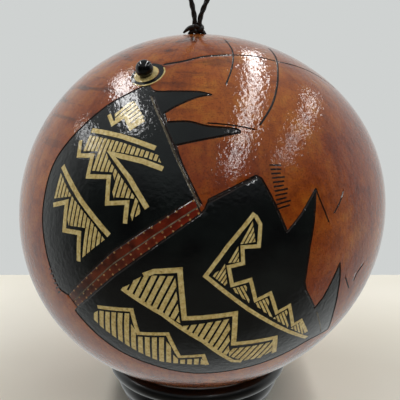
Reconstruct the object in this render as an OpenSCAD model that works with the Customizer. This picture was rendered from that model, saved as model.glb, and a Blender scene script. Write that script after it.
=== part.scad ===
// Decorated gourd rattle on a turned ring stand.
// Origin: centre of the stand's foot, on the table. +Z up. The carved front faces -Y.

/* [Gourd] */
// Width of the gourd across its belly
gourd_d = 150; // [120:1:180]
// Height of the gourd from pole to pole
gourd_h = 145; // [116:1:174]
// Thickness of the dried shell
shell_wall = 5; // [4:0.5:7]

/* [Ring stand] */
// Height of the stand, from the table to the top of its bead
stand_h = 15.8; // [14:0.2:20]
// Diameter of the circle on which the gourd rests
seat_d = 69; // [60:1:83]
// Diameter of the hole through the stand
bore_d = 54; // [44:1:58]
// Thickness of the round bead that carries the gourd
bead_d = 6.4; // [5.2:0.1:7.7]
// How far the lower moulding is set in from the bead's outer edge
stand_taper = 3.6; // [3:0.1:4.4]
// Radius of the lower moulding's round side
moulding_r = 4.2; // [3.4:0.1:5.1]
// Depth of the groove between the bead and the moulding
groove_depth = 1.4; // [0.8:0.1:2]
// Height of the stand's straight foot
foot_h = 1.6; // [1:0.1:2.4]
// How far the foot is set in from the moulding
foot_inset = 1.6; // [1:0.1:2]

/* [Eye] */
// Diameter of the polished eye stone, a ball
eye_d = 6.2; // [5:0.1:7.4]
// How deep the ball would sit in the shell before its bottom is ground flat
eye_sink = 1.2; // [0.9:0.1:1.8]
// How much is ground off the bottom of the ball
eye_flat = 0.2; // [0.1:0.05:0.4]
// Angle of the eye round the gourd, from the front
eye_turn = -24.5; // [-60:0.5:60]
// Angle of the eye up the gourd's side
eye_lift = 55.5; // [30:0.5:65]

/* [Cord] */
// Thickness of the hanging cord
cord_d = 2; // [1.6:0.1:2.4]
// Distance between the two holes that the cord passes through
hole_pitch = 5.6; // [4.8:0.1:7]
// Diameter of the knot
knot_d = 5; // [4:0.1:6]
// Length of the cord's free end past the knot's centre
tail_len = 5.6; // [4:0.1:8]
// Angle at which the free end droops
tail_droop = 14; // [0:1:14]

/* [Seeds] */
// Length of one dried seed
seed_len = 12; // [9:0.5:14]
// Width of one dried seed
seed_w = 6; // [4.5:0.5:7.5]
// Thickness of one dried seed
seed_t = 2.6; // [2:0.1:3.2]
// Distance of the inner ring of seeds from the gourd's axis
seed_ring_in = 14; // [13:0.5:17]
// Distance of the outer ring of seeds from the gourd's axis
seed_ring_out = 29; // [28:0.5:35]

/* [Hidden] */
$fn = 96;

// Clearance between curved pieces that rest on each other
rest_gap = 0.3;
// Clearance between the eye stone and the side of its socket
socket_gap = 0.1;
// Clearance between the cord and the side of its hole
hole_gap = 0.3;
// How far a cutting tool runs past the face that it cuts
cut_past = 1;

// Colours
lacquer_brown = "#8a4a22";
stand_black = "#17181a";
stone_black = "#0a0b0c";
cord_black = "#1d1a19";
seed_tan = "#c9a877";

// The gourd is an ellipse turned about its upright axis
belly_r = gourd_d / 2;
pole_r = gourd_h / 2;
profile_steps = 60;

// The seat: a point on the gourd's lower half, and the outward direction there
seat_r = seat_d / 2;
seat_drop = pole_r * sqrt(1 - pow(seat_r / belly_r, 2));
seat_across = seat_r / pow(belly_r, 2);
seat_down = seat_drop / pow(pole_r, 2);
seat_norm = norm([seat_across, seat_down]);
bead_reach = bead_d / 2 + rest_gap;
bead_ring_r = seat_r + bead_reach * seat_across / seat_norm;
bead_z = stand_h - bead_d / 2;
gourd_z = bead_z + seat_drop + bead_reach * seat_down / seat_norm;
top_z = gourd_z + pole_r;

// The stand's outline
bore_r = bore_d / 2;
stand_r = bead_ring_r + bead_d / 2 - stand_taper;
neck_r = stand_r - groove_depth;
moulding_z = foot_h + moulding_r * 0.8;
foot_r = stand_r - foot_inset;
lip_z = bead_z - bead_d;

// The eye's ball, its socket, its place on the shell and the way that it faces
eye_r = eye_d / 2;
socket_depth = eye_sink - eye_flat;
socket_r = sqrt(pow(eye_r, 2) - pow(eye_r - eye_sink, 2)) + socket_gap;
eye_side = cos(eye_lift);
eye_at = [
    belly_r * eye_side * sin(eye_turn),
    -belly_r * eye_side * cos(eye_turn),
    gourd_z + pole_r * sin(eye_lift)
];
eye_tilt = atan2(eye_side / belly_r, sin(eye_lift) / pole_r);

// The cord's holes, its knot, and the route of its loop above the gourd's top: [across, up]
hole_r = cord_d / 2 + hole_gap;
knot_z = top_z + rest_gap + knot_d / 2;
cord_sides = 8;
rings_per_span = 2;
loop_route = [
    [-1, 2], [-1, 5], [-1.4, 8], [-2.7, 13.5], [-4.8, 20], [-7.2, 28], [-9, 36], [-9, 42.5],
    [-6.6, 48.5], [-2.4, 52.4], [2.4, 53.4], [7.4, 52], [11, 48], [12.8, 42], [12.4, 35.5],
    [10.4, 28], [7.4, 20.5], [4.2, 13.5], [1.8, 8], [1, 5], [1, 2]
];

// The bight of cord under the shell, between the holes
leg_x = hole_pitch / 2;
leg_top = rest_gap;
leg_foot = -shell_wall - cord_d;
bight_steps = 8;
anchor_route = concat(
    [[-leg_x, leg_top], [-leg_x, leg_foot / 2]],
    [for (i = [0:bight_steps]) let (a = 180 + 180 * i / bight_steps) [leg_x * cos(a), leg_foot + leg_x * sin(a)]],
    [[leg_x, leg_foot / 2], [leg_x, leg_top]]
);

// The round path on which the seeds roll: it touches the shell's inside at the bottom and clears it elsewhere
floor_r = belly_r - shell_wall;
floor_drop = pole_r - shell_wall;
roll_r = min((floor_r + floor_drop) / 2, pow(floor_r, 2) / floor_drop);
roll_z = gourd_z - floor_drop + roll_r;

// The seeds: one in the middle and two rings round it, each as [distance, count, first angle]
seed_facets = 12;
seed_rings = [[0, 1, 0], [seed_ring_in, 5, 20], [seed_ring_out, 9, 5]];
seed_turn = 67;

// Points of an upright half ellipse, from its bottom to its top
function half_ellipse(across, up, steps) =
    [for (i = [0:steps]) let (a = -90 + 180 * i / steps) [i % steps == 0 ? 0 : across * cos(a), up * sin(a)]];

function reversed(list) = [for (i = [len(list) - 1:-1:0]) list[i]];

// A smooth curve through the points of a route
function curve_at(p, i, t) =
    let (a = p[max(i - 1, 0)], b = p[i], c = p[i + 1], d = p[min(i + 2, len(p) - 1)])
    (2 * b + (c - a) * t + (2 * a - 5 * b + 4 * c - d) * t * t + (3 * b - a - 3 * c + d) * t * t * t) / 2;
function curve(p, n) =
    concat([for (i = [0:len(p) - 2], j = [0:n - 1]) curve_at(p, i, j / n)], [p[len(p) - 1]]);

// A cord swept along a curve that lies in the plane of X and Z
module cord_tube(line, d, sides) {
    count = len(line);
    points = [
        for (i = [0:count - 1])
            let (
                ahead = line[min(i + 1, count - 1)] - line[max(i - 1, 0)],
                side = [-ahead[1], ahead[0]] / norm(ahead)
            )
            for (k = [0:sides - 1])
                let (a = 360 * (k + 0.5) / sides)
                [line[i][0] + d / 2 * cos(a) * side[0], d / 2 * sin(a), line[i][1] + d / 2 * cos(a) * side[1]]
    ];
    walls = [
        for (i = [0:count - 2], k = [0:sides - 1])
            let (n = (k + 1) % sides)
            [i * sides + k, (i + 1) * sides + k, (i + 1) * sides + n, i * sides + n]
    ];
    start = [for (k = [0:sides - 1]) k];
    end = [for (k = [sides - 1:-1:0]) (count - 1) * sides + k];
    polyhedron(points, concat([start], walls, [end]));
}

// Turned ring stand: flat foot, thick round moulding, groove, and the bead that carries the gourd
module ring_stand() {
    color(stand_black)
    rotate_extrude()
    difference() {
        union() {
            polygon([
                [0, 0], [foot_r, 0], [foot_r, foot_h], [neck_r, foot_h], [neck_r, bead_z],
                [bead_ring_r - bead_d / 2, bead_z], [bead_ring_r - bead_d / 2, lip_z], [0, lip_z - foot_h]
            ]);
            translate([stand_r - moulding_r, moulding_z])
                circle(r = moulding_r);
            translate([bead_ring_r, bead_z])
                circle(d = bead_d);
        }
        square([bore_r, stand_h]);
    }
}

// Places its children on the shell at the eye, with +Z pointing straight out of the shell
module at_eye() {
    translate(eye_at)
    rotate([0, 0, eye_turn])
    rotate([eye_tilt, 0, 0])
        children();
}

// Hollow dried gourd, with a blind socket for the eye and two small holes for the cord
module gourd_shell() {
    outside = half_ellipse(belly_r, pole_r, profile_steps);
    inside = half_ellipse(floor_r, floor_drop, profile_steps);
    color(lacquer_brown)
    difference() {
        translate([0, 0, gourd_z])
        rotate_extrude()
            polygon(concat(outside, reversed(inside)));
        at_eye()
        translate([0, 0, -socket_depth])
            cylinder(r = socket_r, h = socket_depth + eye_d);
        for (x = [-leg_x, leg_x])
            translate([x, 0, top_z - shell_wall - cut_past])
                cylinder(r = hole_r, h = shell_wall + 2 * cut_past);
    }
}

// Polished ball of stone with a ground flat, which sits on the floor of the socket
module eye_stone() {
    color(stone_black)
    at_eye()
    rotate_extrude()
    intersection() {
        translate([0, eye_r - eye_sink])
            circle(r = eye_r);
        translate([0, -socket_depth])
            square([eye_r, eye_d]);
    }
}

// The part of the cord that goes down one hole, under the shell and up the other
module cord_anchor() {
    color(cord_black)
    translate([0, 0, top_z])
        cord_tube(anchor_route, cord_d, cord_sides);
}

// The knot that closes the loop on top of the gourd, with its pointed free end
module cord_knot() {
    color(cord_black)
    translate([0, 0, knot_z]) {
        sphere(d = knot_d);
        rotate([0, -90 - tail_droop, 0])
            cylinder(r1 = cord_d / 2, r2 = cord_d / 4, h = tail_len);
    }
}

// The loop of cord by which the gourd hangs
module cord_loop() {
    color(cord_black)
    translate([0, 0, top_z])
        cord_tube(curve(loop_route, rings_per_span), cord_d, cord_sides);
}

// One flat oval seed, lying on the XY plane
module seed() {
    resize([seed_len, seed_w, seed_t])
        sphere(d = seed_w, $fn = seed_facets);
}

// The loose dried seeds, which lie on the inside of the shell's bottom
module seeds() {
    color(seed_tan)
    for (ring = seed_rings)
        for (i = [0:ring[1] - 1])
            translate([0, 0, roll_z])
            rotate([0, 0, ring[2] + 360 * i / ring[1]])
            rotate([0, -asin(ring[0] / roll_r), 0])
            translate([0, 0, seed_t / 2 + rest_gap - roll_r])
            rotate([0, 0, seed_turn * i])
                seed();
}

ring_stand();
gourd_shell();
eye_stone();
cord_anchor();
cord_knot();
cord_loop();
seeds();
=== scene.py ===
# %% [markdown]
# # A carved gourd rattle on a ring stand
#
# The real object is a dried bottle gourd, carved with a knife, burned along the cuts, dyed black in
# places, painted with straw gold and lacquered. Loose seeds rattle inside it, a waxed cord loop is
# knotted through its top, and it rests in a turned black ring stand.
#
# The working frame comes first: every size and place below is measured from it, so that the looks
# stay on the parts that move.

# %% Load the frame
import math

import bmesh
import bpy
import numpy as np
from mathutils import Matrix, Vector, kdtree
from mathutils.geometry import delaunay_2d_cdt


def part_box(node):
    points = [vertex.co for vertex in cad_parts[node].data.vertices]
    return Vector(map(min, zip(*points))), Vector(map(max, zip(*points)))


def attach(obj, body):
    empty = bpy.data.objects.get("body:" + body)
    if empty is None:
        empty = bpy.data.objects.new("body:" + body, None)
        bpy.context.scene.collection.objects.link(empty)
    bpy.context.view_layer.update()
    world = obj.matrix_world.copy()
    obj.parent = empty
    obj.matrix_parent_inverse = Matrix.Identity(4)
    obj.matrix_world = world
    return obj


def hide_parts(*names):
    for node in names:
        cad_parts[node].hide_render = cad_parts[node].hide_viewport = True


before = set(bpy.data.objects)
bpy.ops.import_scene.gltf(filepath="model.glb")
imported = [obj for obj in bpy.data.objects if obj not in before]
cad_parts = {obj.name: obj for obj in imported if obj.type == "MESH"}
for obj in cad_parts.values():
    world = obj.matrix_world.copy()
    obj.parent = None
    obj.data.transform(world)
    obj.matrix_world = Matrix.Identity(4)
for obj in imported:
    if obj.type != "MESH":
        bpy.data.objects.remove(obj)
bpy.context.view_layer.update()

MM = 0.001
shell_low, shell_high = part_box("gourd_shell")
BELLY = (shell_high.x - shell_low.x) / 2
POLE = (shell_high.z - shell_low.z) / 2
CENTRE = Vector((0, 0, (shell_low.z + shell_high.z) / 2))
TOP = shell_high.z

# %% [markdown]
# ## Camera
#
# The camera stands close to the gourd and a little above its middle, so the horizon of the table
# falls behind the gourd's lower half. A long lens would flatten the ball, so the distance comes
# first and the lens follows from how much of the picture the gourd fills.

# %% Camera
CAMERA_BACK = 267.2 * MM
CAMERA_RISE = 75 * MM
SENSOR_WIDTH = 36
LENS = 58.73
# How far the picture's middle lies from the gourd's middle, in picture widths
SHIFT = (0.0068, 0.026)


def make_camera():
    data = bpy.data.cameras.new("camera")
    data.sensor_width = SENSOR_WIDTH
    data.lens = LENS
    data.shift_x, data.shift_y = SHIFT
    camera = bpy.data.objects.new("camera", data)
    bpy.context.scene.collection.objects.link(camera)
    camera.location = CENTRE + Vector((0, -CAMERA_BACK, CAMERA_RISE))
    camera.rotation_euler = (CENTRE - camera.location).to_track_quat("-Z", "Y").to_euler()
    bpy.context.scene.camera = camera


make_camera()
# Plain sRGB tones keep the dyes as dark and as warm as they are
bpy.context.scene.view_settings.view_transform = "Standard"
print("camera", [round(x, 3) for x in bpy.context.scene.camera.location])

# %% [markdown]
# ## Helpers for colours, nodes and meshes
#
# Colours are written as they look on a screen, in sRGB hex, and one function turns them into the
# linear values that the shader works in. One small function adds a node to any tree, with its
# settings and its links, so that a material or a Geometry Nodes tree reads from top to bottom. The
# nodes used most, such as noise, a ramp of colours or a bump, have a short function each.


# %% Helpers
ON_AXIS = 1e-9


def colour(hex_text):
    """A linear RGBA colour from an sRGB hex value."""
    parts = [int(hex_text[i : i + 2], 16) / 255 for i in (1, 3, 5)]
    return [c / 12.92 if c <= 0.04045 else ((c + 0.055) / 1.055) ** 2.4 for c in parts] + [1.0]


def feed(tree, node, inputs):
    """Sets a node's inputs, by name or number, to a value or to the socket that feeds them."""
    for key, value in inputs.items():
        if isinstance(value, bpy.types.NodeSocket):
            tree.links.new(value, node.inputs[key])
        else:
            node.inputs[key].default_value = value


def add(tree, kind, inputs=None, **settings):
    """Adds one node, with its settings and its inputs."""
    node = tree.nodes.new(kind)
    for name, value in settings.items():
        setattr(node, name, value)
    feed(tree, node, inputs or {})
    return node


def calc(tree, operation, *values):
    """The result of a Math node."""
    return add(tree, "ShaderNodeMath", dict(enumerate(values)), operation=operation).outputs[0]


def scaled(tree, vector, factor):
    """A vector times a number."""
    return add(tree, "ShaderNodeVectorMath", {0: vector, 3: factor}, operation="SCALE").outputs[0]


def vector_calc(tree, operation, *values):
    """The result of a Vector Math node."""
    return add(tree, "ShaderNodeVectorMath", dict(enumerate(values)), operation=operation).outputs[0]


def split(tree, vector):
    """The X, Y and Z of a vector."""
    return add(tree, "ShaderNodeSeparateXYZ", {0: vector}).outputs


def noise(tree, place, size, detail=2.0, roughness=0.5):
    """Cloudy noise with features of that size, in millimetres."""
    inputs = {"Vector": place, "Scale": 1000 / size, "Detail": detail, "Roughness": roughness}
    return add(tree, "ShaderNodeTexNoise", inputs).outputs[0]


def relief(tree, height, distance, strength=1.0):
    """A bumped normal."""
    inputs = {"Height": height, "Distance": distance, "Strength": strength}
    return add(tree, "ShaderNodeBump", inputs).outputs[0]


def ramp(tree, factor, *stops):
    """A colour ramp through (position, hex) stops."""
    node = add(tree, "ShaderNodeValToRGB", {"Fac": factor})
    elements = node.color_ramp.elements
    while len(elements) < len(stops):
        elements.new(0.5)
    for element, (position, hex_text) in zip(elements, stops):
        element.position = position
        element.color = colour(hex_text)
    return node.outputs[0]


def blended(tree, factor, a, b, kind="MIX"):
    mix = add(tree, "ShaderNodeMix", {0: factor, 6: a, 7: b}, data_type="RGBA", blend_type=kind)
    return mix.outputs[2]


def between(tree, value, start, end, most=1.0):
    """0 where the value is at start or before it, most at end or past it, and even between."""
    return add(tree, "ShaderNodeMapRange", {0: value, 1: start, 2: end, 4: most}).outputs[0]


def new_material(name):
    """A material, its node tree, its shader, and the place of each point, in metres."""
    material = bpy.data.materials.new(name)
    material.use_nodes = True
    tree = material.node_tree
    place = add(tree, "ShaderNodeTexCoord").outputs["Object"]
    return material, tree, tree.nodes["Principled BSDF"], place


def mesh_object(name, points, faces):
    """A smooth shaded mesh object at the origin, with its place in its points."""
    mesh = bpy.data.meshes.new(name)
    mesh.from_pydata([tuple(p) for p in points], [], [tuple(f) for f in faces])
    mesh.update()
    mesh.shade_smooth()
    piece = bpy.data.objects.new(name, mesh)
    bpy.context.scene.collection.objects.link(piece)
    return piece


def line_object(name, lines):
    """A mesh of bare edges, one chain for each line: the guide that a Geometry Nodes tree follows."""
    points, edges = [], []
    for line in lines:
        first = len(points)
        points += [tuple(p) for p in line]
        edges += [(first + i, first + i + 1) for i in range(len(line) - 1)]
    mesh = bpy.data.meshes.new(name)
    mesh.from_pydata(points, edges, [])
    piece = bpy.data.objects.new(name, mesh)
    bpy.context.scene.collection.objects.link(piece)
    return piece


def smooth_line(points, per_span):
    """A smooth curve through the points, with per_span steps between each two."""
    p = [np.array(q, float) for q in points]
    out = []
    for i in range(len(p) - 1):
        a, b, c, d = p[max(i - 1, 0)], p[i], p[i + 1], p[min(i + 2, len(p) - 1)]
        for j in range(per_span):
            t = j / per_span
            bend = (2 * a - 5 * b + 4 * c - d) * t**2
            twist = (3 * b - a - 3 * c + d) * t**3
            out.append((2 * b + (c - a) * t + bend + twist) / 2)
    return np.array(out + [p[-1]])


def turned(profile, steps, place=None):
    """Points and faces of a closed outline [(radius, height), ...] turned about the upright axis."""
    place = place or Matrix.Identity(4)
    points, rows = [], []
    for radius, height in profile:
        if radius < ON_AXIS:
            rows.append([len(points)] * steps)
            points.append(place @ Vector((0, 0, height)))
            continue
        rows.append(list(range(len(points), len(points) + steps)))
        for i in range(steps):
            a = 2 * math.pi * i / steps
            points.append(place @ Vector((radius * math.cos(a), radius * math.sin(a), height)))
    faces = []
    starts_on_axis = profile[0][0] < ON_AXIS
    for r in range(len(rows) - 1 if starts_on_axis else len(rows)):
        low, high = rows[r], rows[(r + 1) % len(rows)]
        for i in range(steps):
            j = (i + 1) % steps
            corners = [low[i], low[j], high[j], high[i]]
            faces.append(list(dict.fromkeys(corners)))
    return points, faces


def join(name, pieces):
    """One mesh object from several, with the material of the first."""
    work = bmesh.new()
    for piece in pieces:
        work.from_mesh(piece.data)
    bmesh.ops.recalc_face_normals(work, faces=work.faces)
    whole = mesh_object(name, [], [])
    work.to_mesh(whole.data)
    work.free()
    whole.data.materials.append(pieces[0].data.materials[0])
    for piece in pieces:
        bpy.data.objects.remove(piece)
    return whole


def box_size(piece):
    """How large a finished piece is, in millimetres."""
    co = np.array([v.co for v in piece.data.vertices])
    return [round(float(x), 1) for x in (co.max(0) - co.min(0)) * 1000]


print("pale straw as linear light:", [round(x, 3) for x in colour("#d9c47f")])

# %% [markdown]
# ## Geometry Nodes helpers
#
# What repeats or follows a line on this object is made by Geometry Nodes: the twist of the cord, the
# painted strokes, the dots, the ticks and the seeds. Each tree has named inputs for its sizes. The
# result is turned into a plain mesh, so nothing live is left on a finished piece.


# %% Geometry Nodes helpers
def new_tree(name, inputs):
    """An empty Geometry Nodes tree with a geometry input and the named inputs {name: (kind, value)}."""
    tree = bpy.data.node_groups.new(name, "GeometryNodeTree")
    tree.interface.new_socket("Geometry", in_out="INPUT", socket_type="NodeSocketGeometry")
    for label, (kind, value) in inputs.items():
        socket = tree.interface.new_socket(label, in_out="INPUT", socket_type=f"NodeSocket{kind}")
        if value is not None:
            socket.default_value = value
    tree.interface.new_socket("Geometry", in_out="OUTPUT", socket_type="NodeSocketGeometry")
    return tree, add(tree, "NodeGroupInput").outputs


def point_place(tree):
    return add(tree, "GeometryNodeInputPosition").outputs[0]


def finish_tree(tree, geometry, material):
    """Ends a tree in smooth shading, Realize Instances and Set Material."""
    smooth = add(tree, "GeometryNodeSetShadeSmooth", {"Geometry": geometry})
    real = add(tree, "GeometryNodeRealizeInstances", {"Geometry": smooth.outputs[0]})
    painted = add(tree, "GeometryNodeSetMaterial", {"Geometry": real.outputs[0], "Material": material})
    add(tree, "NodeGroupOutput", {"Geometry": painted.outputs[0]})


def grow(guide, tree, name, **values):
    """Runs a tree on a guide object and returns the plain mesh object that it makes."""
    modifier = guide.modifiers.new("grow", "NODES")
    modifier.node_group = tree
    for item in tree.interface.items_tree:
        label = item.name.replace(" ", "_").lower()
        if item.item_type == "SOCKET" and item.in_out == "INPUT" and label in values:
            modifier[item.identifier] = values[label]
    bpy.context.view_layer.update()
    shown = guide.evaluated_get(bpy.context.evaluated_depsgraph_get())
    mesh = bpy.data.meshes.new_from_object(shown)
    mesh.name = name
    # The tree leaves an empty slot in front of its material
    finish = [material for material in mesh.materials if material]
    mesh.materials.clear()
    for material in finish:
        mesh.materials.append(material)
    mesh.polygons.foreach_set("material_index", [0] * len(mesh.polygons))
    piece = bpy.data.objects.new(name, mesh)
    bpy.context.scene.collection.objects.link(piece)
    guide.modifiers.clear()
    bpy.data.objects.remove(guide)
    return piece


# %% [markdown]
# ## The waxed cord
#
# The gourd hangs from a 2 mm waxed cotton cord: two holes at the top, a bight under the shell, a
# knot, and a loop above it. A flexible loop that stands up by its own wax is drawn along listed
# points, the same points as the working frame has. The cord is two strands laid round each other,
# so its section is not a circle: the tree sweeps a lobed section along the line and turns it once
# for each turn of the lay.
#
# Material: black waxed cotton. The wax fills the fibres, so it is dark, slightly brown and half
# glossy, with fine fibres along the strands.


# %% Waxed cord material
def waxed_cotton():
    material, tree, shader, place = new_material("waxed_cotton")
    # Fibre bundles in a waxed cord are about 0.3 mm across
    fibres = noise(tree, place, 0.3, 3.0)
    inputs = {
        "Base Color": ramp(tree, fibres, (0.35, "#0d0b0a"), (1.0, "#3a302a")),
        "Normal": relief(tree, fibres, 0.1 * MM, 0.5),
        "Roughness": 0.42,
        "Specular IOR Level": 0.45,
    }
    feed(tree, shader, inputs)
    return material


CORD_MATERIAL = waxed_cotton()


# %% The cord tree: a lobed section swept along a line and turned as it goes
CORD_D = 2 * MM
# Wide enough that the hollows between the strands leave the cord 2 mm thick on average
CORD_SECTION = 2.15 * MM
CORD_LAY = 7 * MM


def cord_tree():
    tree, given = new_tree(
        "twisted_cord",
        {
            "Diameter": ("Float", CORD_D),
            "Lay": ("Float", CORD_LAY),
            "Step": ("Float", 0.5 * MM),
            "Lobe depth": ("Float", 0.09),
            "Material": ("Material", None),
        },
    )
    line = add(tree, "GeometryNodeMeshToCurve", {"Mesh": given["Geometry"]}).outputs[0]
    steps = {"Curve": line, "Length": given["Step"]}
    even = add(tree, "GeometryNodeResampleCurve", steps, mode="LENGTH").outputs[0]
    along = add(tree, "GeometryNodeSplineParameter").outputs["Length"]
    angle = calc(tree, "MULTIPLY", calc(tree, "DIVIDE", along, given["Lay"]), 2 * math.pi)
    twisted = add(tree, "GeometryNodeSetCurveTilt", {"Curve": even, "Tilt": angle}).outputs[0]
    radius = calc(tree, "MULTIPLY", given["Diameter"], 0.5)
    circle = add(tree, "GeometryNodeCurvePrimitiveCircle", {"Resolution": 20, "Radius": radius})
    # Two strands: the section is widest twice in one turn
    place = point_place(tree)
    parts = split(tree, place)
    bearing = calc(tree, "ARCTAN2", parts[1], parts[0])
    wave = calc(tree, "COSINE", calc(tree, "MULTIPLY", bearing, 2.0))
    lowered = calc(tree, "SUBTRACT", wave, 1.0)
    factor = calc(tree, "MULTIPLY_ADD", lowered, given["Lobe depth"], 1.0)
    lobed = {"Geometry": circle.outputs[0], "Position": scaled(tree, place, factor)}
    section = add(tree, "GeometryNodeSetPosition", lobed).outputs[0]
    sweep = {"Curve": twisted, "Profile Curve": section, "Fill Caps": True}
    swept = add(tree, "GeometryNodeCurveToMesh", sweep).outputs[0]
    finish_tree(tree, swept, given["Material"])
    return tree


CORD_TREE = cord_tree()

# %% The hanging loop, the knot and the bight under the shell
# Across and up from the top of the shell, in metres: the same points as in the working frame
LOOP_ROUTE = [
    (-0.001, 0.002), (-0.001, 0.005), (-0.0014, 0.008), (-0.0027, 0.0135), (-0.0048, 0.02),
    (-0.0072, 0.028), (-0.009, 0.036), (-0.009, 0.0425), (-0.0066, 0.0485), (-0.0024, 0.0524),
    (0.0024, 0.0534), (0.0074, 0.052), (0.011, 0.048), (0.0128, 0.042), (0.0124, 0.0355),
    (0.0104, 0.028), (0.0074, 0.0205), (0.0042, 0.0135), (0.0018, 0.008), (0.001, 0.005), (0.001, 0.002),
]
# The bight's two legs stand that far from the axis, and its round part hangs that far down
LEG = 2.8 * MM
LEG_FOOT = 7 * MM
# Above the shell each leg leans in and ends under the knot; across and up, in millimetres
LEG_END = [(2.8, -0.3), (2.4, 0.5), (1.7, 1.0)]


def cord_piece(name, points, diameter=CORD_SECTION):
    guide = line_object("cord_line", [points])
    return grow(guide, CORD_TREE, name, diameter=diameter, material=CORD_MATERIAL)


loop_line = smooth_line([(x, 0, TOP + z) for x, z in LOOP_ROUTE], 6)
loop = cord_piece("hanging_loop", loop_line)

half_turn = np.linspace(0, math.pi, 13)
bight = [(-LEG * math.cos(a), 0, TOP - LEG_FOOT - LEG * math.sin(a)) for a in half_turn]
rise = smooth_line([(x * MM, 0, TOP + z * MM) for x, z in LEG_END], 4)
anchor_line = [(-x, y, z) for x, y, z in rise[::-1]]
anchor_line += [(-LEG, 0, TOP - LEG_FOOT / 2), *bight, (LEG, 0, TOP - LEG_FOOT / 2), *rise]
anchor = cord_piece("cord_bight", anchor_line)

# %% [markdown]
# ## The knot
#
# An overhand knot pulled tight is a lump in which the cord crosses itself three times, with a cut
# end that sticks out. The closed form of that path is the trefoil, which a formula gives exactly.
# The end tapers where the wax has drawn its fibres to a point.

# %% The knot
KNOT_WIDE = 3.5 * MM
KNOT_HIGH = 2.2 * MM
KNOT_DEEP = 0.9 * MM
KNOT_CORD = 1.9 * MM
# The path of the cord's middle, as a share of the knot's size
KNOT_PATH = 0.62
KNOT_RISE = 1.9 * MM
KNOT_AT = Vector((0, 0, TOP + KNOT_RISE))
TAIL_POINTS = [(-1.2, 0.5), (-2.6, 0.4), (-3.7, -0.1), (-4.6, -0.8), (-5.5, -1.6)]
TAIL_FRONT = 0.6 * MM
TAIL_R = 1.05 * MM
TAIL_TAPER = 0.7
TAIL_CURVE = 1.6
TAIL_SIDES = 14


def knot_line():
    """A trefoil laid on its side, so that its crossings face the front."""
    line = []
    for t in np.linspace(0, 2 * math.pi, 73):
        across = (math.sin(t) + 2 * math.sin(2 * t)) / 3 * KNOT_WIDE * KNOT_PATH
        up = (math.cos(t) - 2 * math.cos(2 * t)) / 3 * KNOT_HIGH * KNOT_PATH
        line.append(KNOT_AT + Vector((across, -math.sin(3 * t) * KNOT_DEEP, up)))
    return line


def knot_tail():
    """The cut end: a round tube along its points that tapers to a tip."""
    tail = smooth_line([KNOT_AT + Vector((x * MM, -TAIL_FRONT, z * MM)) for x, z in TAIL_POINTS], 5)
    last = len(tail) - 1
    front = Vector((0, 1, 0))
    points, faces = [], []
    for i, p in enumerate(tail):
        ahead = Vector(tail[min(i + 1, last)] - tail[max(i - 1, 0)]).normalized()
        side = ahead.cross(front).normalized()
        radius = TAIL_R * (1 - TAIL_TAPER * (i / last) ** TAIL_CURVE)
        for k in range(TAIL_SIDES):
            a = 2 * math.pi * k / TAIL_SIDES
            points.append(Vector(p) + radius * (side * math.cos(a) + front * math.sin(a)))
    rows = [list(range(i * TAIL_SIDES, (i + 1) * TAIL_SIDES)) for i in range(len(tail))]
    for low, high in zip(rows[:-1], rows[1:]):
        for k in range(TAIL_SIDES):
            n = (k + 1) % TAIL_SIDES
            faces.append([low[k], low[n], high[n], high[k]])
    faces += [rows[0][::-1], rows[-1]]
    end = mesh_object("knot_tail", points, faces)
    end.data.materials.append(CORD_MATERIAL)
    return end


lump = cord_piece("knot_lump", knot_line(), diameter=KNOT_CORD)
knot = join("cord_knot_tied", [lump, knot_tail()])
print("knot", box_size(knot), "mm")

# %% The cord pieces ride with the frame
for piece, body, node in (
    (loop, "loop", "cord_loop"),
    (knot, "loop", "cord_knot"),
    (anchor, "gourd", "cord_anchor"),
):
    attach(piece, body)
    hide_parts(node)

# %% [markdown]
# ## The gourd's skin as a formula
#
# No gourd is round. This one is an ellipse turned about its upright axis, a little fuller towards
# the top, and its belly leans to one side. One function gives a point of the skin from a direction,
# so the carving, the paint and the holes all lie on the same surface. The lean fades out towards
# the bottom, where the gourd sits in its ring, and through the wall, whose inside is even.

# %% The skin
FULLER_TOP = 0.012
BELLY_LEAN = 1.8 * MM
TOP_LEAN = 1.3 * MM
LEAN_STOPS = -0.9
LEAN_WHOLE = -0.72
WALL = 5 * MM
RADII = np.array([BELLY, BELLY, POLE])


def direction(lon, lat):
    """A unit direction from the gourd's centre, in degrees: lon is 0 in front and grows to the right."""
    lo, la = math.radians(lon), math.radians(lat)
    return np.array([math.cos(la) * math.sin(lo), -math.cos(la) * math.cos(lo), math.sin(la)])


def skin(directions, inward=0.0):
    """Points of the skin for an array of unit directions, or of the wall that far inside it."""
    d = np.atleast_2d(directions)
    # The seeds' path needs an inside without the lean
    uneven = 1 - inward / WALL
    rise = d[:, 2]
    side = np.sqrt(np.clip(1 - rise**2, 0, 1))
    fade = np.clip((rise - LEAN_STOPS) / (LEAN_WHOLE - LEAN_STOPS), 0, 1)
    lean = fade * fade * (3 - 2 * fade) * side * (BELLY_LEAN * side + 2 * TOP_LEAN * rise)
    across = (BELLY - inward) * (1 + FULLER_TOP * rise * uneven)
    height = CENTRE.z + d[:, 2] * (POLE - inward)
    return np.c_[d[:, 0] * across + lean * uneven, d[:, 1] * across, height]


def outward(directions):
    """The skin's outward direction."""
    n = np.atleast_2d(directions) / RADII
    return n / np.linalg.norm(n, axis=1)[:, None]


def unit(v):
    v = np.array(v, float)
    return v / np.linalg.norm(v, axis=-1, keepdims=True)


def direction_under(point):
    """The direction whose skin point lies nearest to a point of the frame, found in small steps."""
    d = unit((np.array(point) - np.array(CENTRE)) / RADII)
    for _ in range(20):
        d = unit(d + (np.array(point) - skin(d)[0]) / RADII * 0.7)
    return d


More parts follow.
